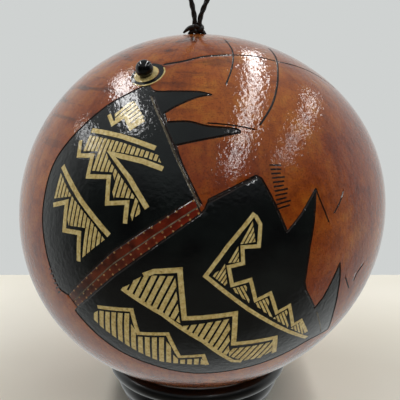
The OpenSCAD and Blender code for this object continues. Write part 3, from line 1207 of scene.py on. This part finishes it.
# %% The painted borders: (corners, width in millimetres)
GOLD_BORDERS = [
    ([(-33.5, 40.2), (-30.4, 37.5), (-26.8, 40.2), (-23.4, 36.7), (-19.7, 39.4)], 1.4),
    ([(-37.7, 35.1), (-26, 34.3), (-14.2, 31.6)], 1.7),
    (
        [
            (-40.6, 31.8), (-39.2, 27.6), (-33.8, 28.2), (-33.5, 22.6), (-26.5, 23.2), (-25.7, 16.5),
            (-20, 17.3), (-20, 12),
        ],
        1.5,
    ),
    ([(-11.3, 26.3), (-17.3, 28), (-24.2, 28.9), (-27.6, 29.3), (-20.3, 23.4), (-14.5, 16.3)], 1.75),
    ([(-44.5, 24), (-34.3, 16.3), (-24.2, 8.5)], 1.8),
    ([(-44.6, 13.2), (-39.2, 15), (-38.9, 7.4), (-33.4, 7.7), (-33.4, 0)], 1.6),
    (
        [
            (-14.6, -0.9), (-12, 0.4), (-5.6, 1.2), (-4.2, -12.7), (-0.2, -12.4), (8.7, -11.4), (9.6, -22.2),
            (22, -21.9), (24.2, -29.1),
        ],
        1.75,
    ),
    ([(-20.4, -5.3), (-9.8, -11.8), (1, -20.7), (10.8, -30.2), (13.8, -30.8)], 1.5),
    (
        [
            (-28.4, -12.5), (-18.1, -11.4), (-17, -19.2), (-8.7, -18.3), (-5.6, -27.5), (1.4, -26.6),
            (2.9, -31.4),
        ],
        1.4,
    ),
    ([(12.4, 15.2), (5.7, 7.3), (0.6, -0.3), (12.1, -10.5), (22.6, -18.3), (35.1, -25.9)], 1.35),
    (
        [
            (12.6, 14.6), (13.8, 12.3), (13.4, 6.9), (9.3, 6.9), (9.6, 2.7), (6.1, 2), (7.2, -3),
            (11.7, -1.8), (13.6, -7.9), (17.3, -6.2), (20.1, -12.7), (23.5, -11), (26.5, -18.3),
            (28.9, -17.2), (33.4, -23.1),
        ],
        1.25,
    ),
]
MITRE_LIMIT = 2.4
RIBBON_STEP = 2.0 * MM


def ribbon(corners, width):
    """Four-sided patches along a line of directions, with mitred corners."""
    reach = width / 2 / BELLY
    edges = []
    for i, at in enumerate(corners):
        sides = []
        for a, b in ((i - 1, i), (i, i + 1)):
            if 0 <= a and b < len(corners):
                ahead = corners[b] - corners[a]
                sides.append(np.cross(at, unit(ahead - at * np.dot(ahead, at))))
        side = unit(sum(sides))
        stretch = min(MITRE_LIMIT, 1 / max(0.05, float(np.dot(side, sides[0]))))
        edges.append((unit(at + side * reach * stretch), unit(at - side * reach * stretch)))
    patches = []
    for (left_a, right_a), (left_b, right_b) in zip(edges[:-1], edges[1:]):
        span = float(np.linalg.norm(left_a + right_a - left_b - right_b)) / 2 * BELLY
        count = max(1, round(span / RIBBON_STEP))
        shares = [k / count for k in range(count + 1)]
        left = [unit(left_a + (left_b - left_a) * k) for k in shares]
        right = [unit(right_a + (right_b - right_a) * k) for k in shares]
        rungs = list(zip(left, right))
        patches += [[a[0], a[1], b[1], b[0]] for a, b in zip(rungs[:-1], rungs[1:])]
    return patches


borders = [
    painted(f"border_{n}", ribbon([direction(*p) for p in line], width * MM), GOLD, seed=float(n))
    for n, (line, width) in enumerate(GOLD_BORDERS)
]
print(len(borders), "borders,", sum(len(b.data.polygons) for b in borders), "faces")

# %% [markdown]
# ## Hatching
#
# Between each stepped border and its straight one, the painter filled the space with bars. A field is
# given as the outline that it fills, the lean of its bars and their pitch. The outline is laid on the
# plane that touches the gourd at its middle, where great circles are straight lines. Each bar is cut
# to the outline there, and its ends follow the edges that it meets.

# %% Hatched fields: (outline, lean in degrees from level, pitch in millimetres)
HATCHED = [
    ([(-31.3, 40.5), (-25.8, 45.2), (-20, 40.2), (-23.4, 37.7), (-26.9, 41.1), (-30.1, 38.8)], 53, 1.6),
    (
        [
            (-38.4, 33.6), (-25.2, 32.6), (-13.2, 29.8), (-12, 27.8), (-16.5, 29), (-24.4, 29.9),
            (-29.7, 29.9), (-27.8, 27.7), (-22.9, 23.6), (-17.2, 18), (-16, 15), (-18.4, 13.2),
            (-18.5, 18.4), (-24.2, 18.3), (-25.2, 24.5), (-32, 24.3), (-32.2, 29.5), (-38.1, 29),
        ],
        82,
        1.7,
    ),
    (
        [
            (-44.9, 22.4), (-44.8, 14.9), (-38.3, 16.6), (-37.6, 9), (-32.2, 9.3), (-31.9, 1.5),
            (-25.4, 7.2), (-29.3, 10.9), (-39, 17.7), (-43.5, 21.4),
        ],
        86,
        1.75,
    ),
    ([(-20, -5), (-15.8, -1.6), (-13.1, -0.8), (-6.7, -0.5), (-5.3, -14.3), (-12.3, -9.6)], 66, 2.35),
    ([(-5, -15.3), (7.4, -13), (8.6, -24.2), (8.2, -26.9), (1, -20.2)], 70, 2.3),
    ([(8.9, -27.2), (9.9, -24.2), (21.7, -23.5), (22.9, -27.9), (19.8, -30.3), (14.2, -30.5)], 67, 2.1),
    (
        [
            (-31.8, -16.2), (-28.4, -13.7), (-18.8, -12.7), (-17.7, -20.6), (-9.3, -19.7), (-6.3, -29),
            (1.1, -28), (2.3, -31.2), (-5.9, -30.9), (-12, -30.4), (-18.2, -27), (-22.8, -23.8),
            (-28.1, -19.9),
        ],
        84,
        2.5,
    ),
    ([(8.6, 7.7), (11.9, 12.8), (12.5, 8)], 61, 1.1),
    ([(5.5, 3), (8.3, 6.8), (8.6, 3.1)], 61, 1.1),
    ([(2.3, -0.3), (5.2, 2.5), (6.1, -3.6)], 61, 1.1),
    ([(7.1, -4), (10.6, -3.2), (12.1, -8.7)], 118, 1.1),
    ([(13.3, -8.9), (16.6, -7.5), (19, -14)], 118, 1.1),
    ([(19.5, -14.3), (22.9, -12.3), (25.1, -18.7)], 118, 1.1),
    ([(26.4, -19.5), (28.8, -17.9), (32.5, -23.6)], 118, 1.1),
]
# A bar's width as a share of its pitch, where the first bar lies in its step, and how far a bar's
# end may slant beside its half width
BAR_SHARE = 0.68
FIRST_BAR = 0.35
SLANT_LIMIT = 1.6
SHORTEST_BAR = 0.5 * MM


def bars(outline, lean, pitch):
    """Four-sided bars across an outline, pitch apart, at that lean."""
    corners = np.array([direction(*p) for p in outline])
    middle = unit(corners.mean(0))
    east = unit(np.cross([0, 0, 1], middle))
    north = np.cross(middle, east)
    plane = np.c_[corners @ east, corners @ north] / (corners @ middle)[:, None]
    a = math.radians(lean)
    along = np.array([math.cos(a), math.sin(a)])
    over = np.array([-along[1], along[0]])
    u, v = plane @ along, plane @ over
    step = pitch / BELLY
    half = step * BAR_SHARE / 2
    out = []
    for level in np.arange(v.min() + step * FIRST_BAR, v.max(), step):
        hits = []
        for i in range(len(u)):
            j = (i + 1) % len(u)
            if (v[i] > level) != (v[j] > level):
                slope = (u[j] - u[i]) / (v[j] - v[i])
                slant = float(np.clip(slope, -SLANT_LIMIT, SLANT_LIMIT)) * half
                hits.append((u[i] + slope * (level - v[i]), slant))
        hits.sort()
        for (start, start_slant), (end, end_slant) in zip(hits[::2], hits[1::2]):
            if (end - start) * BELLY > SHORTEST_BAR:
                spots = [(start - start_slant, -half), (end - end_slant, -half)]
                spots += [(end + end_slant, half), (start + start_slant, half)]
                flat_spots = np.array([uu * along + (level + vv) * over for uu, vv in spots])
                out.append(unit(middle + flat_spots[:, :1] * east + flat_spots[:, 1:] * north))
    return out


hatches = [
    painted(f"hatch_{n}", bars(outline, lean, pitch * MM), GOLD, divisions=2, unevenness=0.07, seed=20.0 + n)
    for n, (outline, lean, pitch) in enumerate(HATCHED)
]
print("bars:", sum(len(bars(o, l, p * MM)) for o, l, p in HATCHED))

# %% Join the gold into one piece
gold_pattern = join("gold_pattern", borders + hatches)
print("gold pattern:", len(gold_pattern.data.polygons), "faces")

# %% [markdown]
# ## Dots on the band and knife ticks
#
# A fine brush tip leaves tan dots about 3 mm apart along both edges of the band and once more along
# its middle. Beside the teeth, and at the foot of the back area, the carver cut rows of short ticks.
# Dots are small balls set out along a line and pressed flat; ticks are strokes in the dark of a
# burned cut, laid out between two edge lines.

# %% Dots and ticks
BAND_ROWS = [0.1, 0.62, 0.9]
DOT_SPACING = 3.1 * MM
DOT_WIDTH = 0.7 * MM
dot_lines = []
for share in BAND_ROWS:
    stops = [np.array(a) * (1 - share) + np.array(b) * share for a, b in zip(BAND_TOP, BAND_FOOT)]
    dot_lines.append(trace([tuple(s) for s in stops])[2:-1])
dots = grow(
    line_object("dot_lines", [skin(line) for line in dot_lines]),
    DOT_TREE,
    "band_dots",
    skin=SKIN,
    width=DOT_WIDTH,
    height=0.09 * MM,
    spacing=DOT_SPACING,
    unevenness=0.25,
    seed=3.0,
    material=TAN,
)

TICK_WIDTH = 0.6 * MM
TICK_ROWS = [
    # (start of the first and last tick, end of the first and last tick, how many)
    ((17.7, 27), (18.4, 15.8), (21.2, 26.7), (22.6, 16.6), 11),
    ((-46, -5.4), (-43.5, -12.2), (-44, -4.7), (-41.7, -11), 6),
]
ticks = []
for first, last, first_end, last_end, count in TICK_ROWS:
    for k in range(count):
        share = k / (count - 1)
        start = np.array(first) * (1 - share) + np.array(last) * share
        end = np.array(first_end) * (1 - share) + np.array(last_end) * share
        reach = 1 - 0.25 * ((k * 7) % 3) / 2
        ends = [direction(*start), direction(*(start + (end - start) * reach))]
        ticks += ribbon(ends, TICK_WIDTH)
knife_ticks = painted("knife_ticks", ticks, FINISHES["burned"], seed=5.0, height=0.03)
print("dots", len(dots.data.polygons), "faces; ticks", len(knife_ticks.data.polygons), "faces")

# %% [markdown]
# ## The bird's eye
#
# A polished ball of black stone, with a flat ground on its bottom, is glued in a shallow socket.
# Round it the painter laid a gold ring, then a black one a little to the right of it, and a fine
# gold line on the lower right. The rings are films of paint between two circles on the skin.

# %% Eye rings and stone
STONE_R = (EYE_HIGH.x - EYE_LOW.x) / 2
STONE_FLAT = 2.9 * MM
RING_PARTS = 60
# How far the black ring's middle lies to the right and up from the stone's, in millimetres
DARK_ASIDE = (0.5, 0.0)


def eye_ring(name, inner, outer, material, height, aside=(0.0, 0.0), start=0, end=360):
    """A ring, or part of one, painted about the eye. Angles turn from its right; sizes are in mm."""
    east = unit(np.cross([0, 0, 1], EYE_UP))
    north = np.cross(EYE_UP, east)
    middle = skin(EYE_AT)[0] + aside[0] * MM * east + aside[1] * MM * north
    angles = np.radians(np.linspace(start, end, RING_PARTS + 1))
    rays = [math.cos(a) * east + math.sin(a) * north for a in angles]
    rims = [[direction_under(middle + r * MM * ray) for ray in rays] for r in (outer, inner)]
    patches = [[rims[0][k], rims[1][k], rims[1][k + 1], rims[0][k + 1]] for k in range(RING_PARTS)]
    return painted(name, patches, material, unevenness=0.03, height=height)


dark_ring = eye_ring("eye_ring_dark", 4.2, 6.1, FINISHES["black"], 0.06, DARK_ASIDE)
gold_rings = join(
    "eye_rings_gold",
    [
        eye_ring("ring_gold", 2.4, 4.45, GOLD, 0.1),
        eye_ring("ring_line", 5.85, 6.35, GOLD, 0.09, DARK_ASIDE, start=-125, end=40),
    ],
)


def stone_outline():
    low = -math.asin(STONE_FLAT / STONE_R)
    ball = [(STONE_R * math.cos(a), STONE_R * math.sin(a)) for a in np.linspace(low, math.pi / 2, 24)]
    return [(0, -STONE_FLAT), *ball[:-1], (0, STONE_R)]


def polished_stone():
    """Onyx: black, opaque and polished to a mirror, with a trace of brown clouding."""
    material, tree, shader, place = new_material("polished_onyx")
    tone = ramp(tree, noise(tree, place, 2, 3.0), (0.4, "#050506"), (0.8, "#120e0c"))
    feed(tree, shader, {"Base Color": tone, "Roughness": 0.06, "IOR": 1.54})
    return material


def eye_place():
    """From the stone's own axis to the gourd: the ball's middle, with +Z straight out of the skin."""
    return Matrix.Translation(EYE_BALL) @ Vector(EYE_UP).to_track_quat("Z", "Y").to_matrix().to_4x4()


points, faces = turned(stone_outline(), 40, eye_place())
stone = mesh_object("eye_dome", points, faces)
stone.data.set_sharp_from_angle(angle=math.radians(40))
stone.data.materials.append(polished_stone())
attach(stone, "gourd")
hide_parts("eye_stone")
for piece in (gold_pattern, dots, knife_ticks, dark_ring, gold_rings):
    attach(piece, "gourd")
print("stone", box_size(stone), "mm")

# %% [markdown]
# ## The turned ring stand
#
# The stand is a ring of hardwood turned on a lathe: a flat foot, a thick round moulding, a groove,
# and a bead on which the gourd rests. It is lacquered black. Turning an outline about the axis is
# exactly how it is made, so its mesh is made the same way, with arcs for the round parts and a
# small chamfer on each corner. The stand is widest at the bead and narrower below it. The lathe
# tool leaves fine rings, which the lacquer half fills.

# %% The stand
STAND_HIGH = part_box("ring_stand")[1]
STAND_R = STAND_HIGH.x
STAND_TOP = STAND_HIGH.z
BEAD_R = 3.2 * MM
TAPER = 3.6 * MM
MOULDING_R = 4.2 * MM
FOOT_H = 1.6 * MM
FOOT_INSET = 1.6 * MM
GROOVE = 1.4 * MM
BORE_R = 27 * MM
CHAMFER = 0.3 * MM
# How far down its radius the lower moulding is cut off by the foot
MOULDING_SEAT = 0.8
STAND_STEPS = 160


def arc(middle, radius, start, end, count):
    """Points of an arc in the outline's plane, with its angles in degrees from outward."""
    angles = np.radians(np.linspace(start, end, count))
    return [(middle[0] + radius * math.cos(a), middle[1] + radius * math.sin(a)) for a in angles]


def stand_outline():
    widest = STAND_R - TAPER
    bead = (STAND_R - BEAD_R, STAND_TOP - BEAD_R)
    moulding = (widest - MOULDING_R, FOOT_H + MOULDING_SEAT * MOULDING_R)
    foot = widest - FOOT_INSET
    neck = widest - GROOVE
    low = math.degrees(math.asin(-MOULDING_SEAT))
    top = math.degrees(math.acos((neck - moulding[0]) / MOULDING_R))
    bead_start = -math.degrees(math.acos((neck - bead[0]) / BEAD_R))
    lip = bead[1] - 2 * BEAD_R
    return [
        (BORE_R + CHAMFER, 0),
        (foot - CHAMFER, 0),
        (foot, CHAMFER),
        (foot, FOOT_H),
        *arc(moulding, MOULDING_R, low, top, 28),
        *arc(bead, BEAD_R, bead_start, 180, 26),
        (bead[0] - BEAD_R, lip + CHAMFER),
        (bead[0] - BEAD_R - CHAMFER, lip),
        (BORE_R + CHAMFER, lip - FOOT_H),
        (BORE_R, lip - FOOT_H - CHAMFER),
        (BORE_R, CHAMFER),
    ]


def stand_lacquer():
    """Black lacquer on turned hardwood: deep gloss over fine lathe rings, with a trace of brown."""
    material, tree, shader, place = new_material("black_lacquered_hardwood")
    level = vector_calc(tree, "MULTIPLY", place, (1.0, 1.0, 0.0))
    radius = add(tree, "ShaderNodeVectorMath", {0: level}, operation="LENGTH").outputs["Value"]
    # Lathe rings 0.6 mm apart: noise that changes only with radius and height
    ring_place = add(tree, "ShaderNodeCombineXYZ", {0: radius, 2: split(tree, place)[2]}).outputs[0]
    rings = noise(tree, ring_place, 0.6)
    streaked = {"Vector": place, "Scale": 1000 / 4, "Detail": 5.0, "Distortion": 0.6}
    grain = add(tree, "ShaderNodeTexNoise", streaked).outputs[0]
    inputs = {
        "Base Color": ramp(tree, grain, (0.35, "#08090a"), (0.75, "#191412")),
        "Normal": relief(tree, calc(tree, "MULTIPLY_ADD", grain, 0.6, rings), 0.03 * MM),
        "Roughness": 0.32,
        "Coat Weight": 0.5,
        "Coat Roughness": 0.15,
    }
    feed(tree, shader, inputs)
    return material


points, faces = turned(stand_outline(), STAND_STEPS)
stand = mesh_object("turned_ring_stand", points, faces)
stand.data.set_sharp_from_angle(angle=math.radians(38))
stand.data.materials.append(stand_lacquer())
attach(stand, "stand")
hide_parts("ring_stand")
print("stand", box_size(stand), "mm")

# %% [markdown]
# ## The seeds inside
#
# The rattle of the gourd is its own dried seeds, loose on the bottom of the shell. A gourd seed
# is flat and oval, with one pointed end and a raised rim. One seed is modelled, and a tree sets it
# down where the seeds of the working frame lie: one in the middle and two rings round it, each
# turned its own way.

# %% Seeds
SEED_LENGTH = 12 * MM
SEED_WIDTH = 6 * MM
SEED_THICK = 2.6 * MM
# How much narrower its pointed end is, and how much of its thickness it fills
SEED_POINT = 0.28
SEED_BODY = 0.9
# Half of its section, from the middle of one face over the rim to the other: (share out, share up)
SEED_OUTLINE = [(0.0, 0.62), (0.66, 0.7), (0.84, 1.0), (1.0, 0.0), (0.84, -1.0), (0.66, -0.7), (0.0, -0.62)]
# (how far from the axis, how many seeds, where the first one lies in degrees)
SEED_RINGS = [(0, 1, 0), (14 * MM, 5, 20), (29 * MM, 9, 5)]
SEED_TURN = 67
SEED_GAP = 0.3 * MM


def one_seed():
    """Flat oval seed, pointed at one end, with a rim round its flat faces."""
    steps = 24
    points, rows = [], []
    for share, height in SEED_OUTLINE:
        row = []
        for i in range(steps if share else 1):
            a = 2 * math.pi * i / steps
            narrow = 1 - SEED_POINT * max(0, math.cos(a)) ** 2
            x = SEED_LENGTH / 2 * share * math.cos(a)
            y = SEED_WIDTH / 2 * share * math.sin(a) * narrow
            row.append(len(points))
            points.append((x, y, SEED_THICK / 2 * height * SEED_BODY))
        rows.append(row * (steps if len(row) == 1 else 1))
    faces = []
    for low, high in zip(rows[:-1], rows[1:]):
        for i in range(steps):
            j = (i + 1) % steps
            faces.append(list(dict.fromkeys([low[i], low[j], high[j], high[i]]))[::-1])
    return mesh_object("one_seed", points, faces)


def seed_coat():
    """Dried seed coat: matt, straw coloured, with darker spots."""
    material, tree, shader, place = new_material("dried_seed_coat")
    spots = noise(tree, place, 1.5, 4.0)
    inputs = {
        "Base Color": ramp(tree, spots, (0.35, "#8a6a42"), (0.65, "#cbb084")),
        "Normal": relief(tree, spots, 0.1 * MM, 0.6),
        "Roughness": 0.7,
    }
    feed(tree, shader, inputs)
    return material


def seed_places():
    """Points with a turn for each seed, on the round path that the seeds roll along."""
    floor_r = BELLY - WALL
    floor_drop = POLE - WALL
    # The path is a circle no flatter than the shell's floor in its middle
    roll_r = min((floor_r + floor_drop) / 2, floor_r**2 / floor_drop)
    pivot = CENTRE - Vector((0, 0, floor_drop - roll_r))
    spots, turns = [], []
    for ring, count, first in SEED_RINGS:
        for i in range(count):
            turn = (
                Matrix.Rotation(math.radians(first + 360 * i / count), 4, "Z")
                @ Matrix.Rotation(-math.asin(ring / roll_r), 4, "Y")
                @ Matrix.Translation((0, 0, SEED_THICK / 2 + SEED_GAP - roll_r))
                @ Matrix.Rotation(math.radians(SEED_TURN * i), 4, "Z")
            )
            spots.append(pivot + turn.translation)
            turns.append(turn.to_euler())
    return spots, turns


def seed_tree():
    tree, given = new_tree("loose_seeds", {"Seed shape": ("Object", None), "Material": ("Material", None)})
    shape = add(tree, "GeometryNodeObjectInfo", {"Object": given["Seed shape"]}).outputs["Geometry"]
    turn = add(tree, "GeometryNodeInputNamedAttribute", {"Name": "turn"}, data_type="FLOAT_VECTOR")
    rotation = add(tree, "FunctionNodeEulerToRotation", {0: turn.outputs[0]}).outputs[0]
    scatter = {"Points": given["Geometry"], "Instance": shape, "Rotation": rotation}
    placed = add(tree, "GeometryNodeInstanceOnPoints", scatter).outputs[0]
    finish_tree(tree, placed, given["Material"])
    return tree


spots, turns = seed_places()
guide = line_object("seed_places", [[spot] for spot in spots])
attribute = guide.data.attributes.new("turn", "FLOAT_VECTOR", "POINT")
attribute.data.foreach_set("vector", [x for turn in turns for x in turn])
shape = one_seed()
seeds = grow(guide, seed_tree(), "dried_seeds", seed_shape=shape, material=seed_coat())
bpy.data.objects.remove(shape)
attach(seeds, "loose_seeds")
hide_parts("seeds")
print("seeds", len(seeds.data.polygons), "faces,", box_size(seeds), "mm over all")

# %% [markdown]
# ## Table, room and light
#
# The gourd stands near the back edge of a table with a pale cream cover, before a pale grey wall.
# The light is that of a plain room: long soft ceiling lamps that run away from the viewer, which the
# lacquer shows as broken streaks, and an even fill from the walls. The wall is the world's own
# colour, so nothing stands in the way when the gourd is looked at from behind.

# %% Table and wall
TABLE_BACK = 0.14
TABLE_SIDE = 0.75
TABLE_FRONT = -1.1
TABLE_EDGE = 0.012
TABLE_DROP = 0.4
WALL_COLOUR = "#cfd2d1"
CEILING_COLOUR = "#8c9092"
ROOM_COLOUR = "#2c2d2d"
FLOOR_COLOUR = "#5c5a55"


def cream_cover():
    """Close woven cotton cover: cream, matt, with a 0.5 mm weave and slow unevenness."""
    material, tree, shader, place = new_material("cream_cotton_cover")
    inputs = {
        "Base Color": ramp(tree, noise(tree, place, 125, 3.0), (0.3, "#e6e0d0"), (0.7, "#f0ebde")),
        "Normal": relief(tree, noise(tree, place, 0.5, 1.0), 0.1 * MM, 0.3),
        "Roughness": 0.85,
    }
    feed(tree, shader, inputs)
    return material


def make_table():
    """A sheet over the table top that turns down over its rounded back edge."""
    top_back = TABLE_BACK - TABLE_EDGE
    bend = np.linspace(0.2, math.pi / 2, 7)
    rows = [(TABLE_FRONT, 0.0), (-0.3, 0.0), (0.0, 0.0), (top_back, 0.0)]
    rows += [(top_back + TABLE_EDGE * math.sin(a), TABLE_EDGE * (math.cos(a) - 1)) for a in bend]
    rows.append((TABLE_BACK, -TABLE_DROP))
    points = [(x, y, z) for y, z in rows for x in (-TABLE_SIDE, TABLE_SIDE)]
    faces = [[2 * i, 2 * i + 1, 2 * i + 3, 2 * i + 2] for i in range(len(rows) - 1)]
    table = mesh_object("table", points, faces)
    table.data.materials.append(cream_cover())
    # The lacquer mirrors the dim room below the world's horizon, not this wide lit sheet
    table.visible_glossy = False


def make_room():
    """Pale wall behind the table, a grey ceiling, and a dark room in front with a paler floor."""
    world = bpy.data.worlds.new("room")
    world.use_nodes = True
    tree = world.node_tree
    towards = split(tree, add(tree, "ShaderNodeTexCoord").outputs["Generated"])
    wall, ceiling, room, floor = map(colour, (WALL_COLOUR, CEILING_COLOUR, ROOM_COLOUR, FLOOR_COLOUR))
    front = blended(tree, between(tree, towards[2], -0.05, -0.5), room, floor)
    sides = blended(tree, between(tree, towards[1], -0.3, 0.3), front, wall)
    tone = blended(tree, between(tree, towards[2], 0.3, 0.65), sides, ceiling)
    # Looked at straight, the room is the same pale wall on every side
    seen = add(tree, "ShaderNodeLightPath").outputs["Is Camera Ray"]
    feed(tree, tree.nodes["Background"], {"Color": blended(tree, seen, tone, wall)})
    bpy.context.scene.world = world


make_table()
make_room()
print("table and room")

# %% Ceiling lamps
LAMP_RISE = 1.5
# Where each lamp hangs to the side, from where to where it runs, and its width, in lamp heights;
# and its strength in watts
LAMPS = [
    ("lamp_middle", 0.40, -1.15, 1.35, 0.07, 20),
    ("lamp_right", 1.06, -0.7, 1.0, 0.06, 8),
    ("lamp_far_left", -1.5, -0.25, 0.6, 0.16, 8),
    ("lamp_left", -0.66, -0.25, 0.75, 0.16, 14),
]
for name, aside, near_end, far_end, wide, power in LAMPS:
    data = bpy.data.lights.new(name, "AREA")
    data.shape = "RECTANGLE"
    data.size = wide * LAMP_RISE
    data.size_y = (far_end - near_end) * LAMP_RISE
    data.energy = power
    lamp = bpy.data.objects.new(name, data)
    lamp.location = CENTRE + Vector((aside, (near_end + far_end) / 2, 1)) * LAMP_RISE
    bpy.context.scene.collection.objects.link(lamp)
print("lamps", [lamp[0] for lamp in LAMPS])

# %% Remove the smooth skin that the paint was laid on
bpy.data.objects.remove(SKIN)
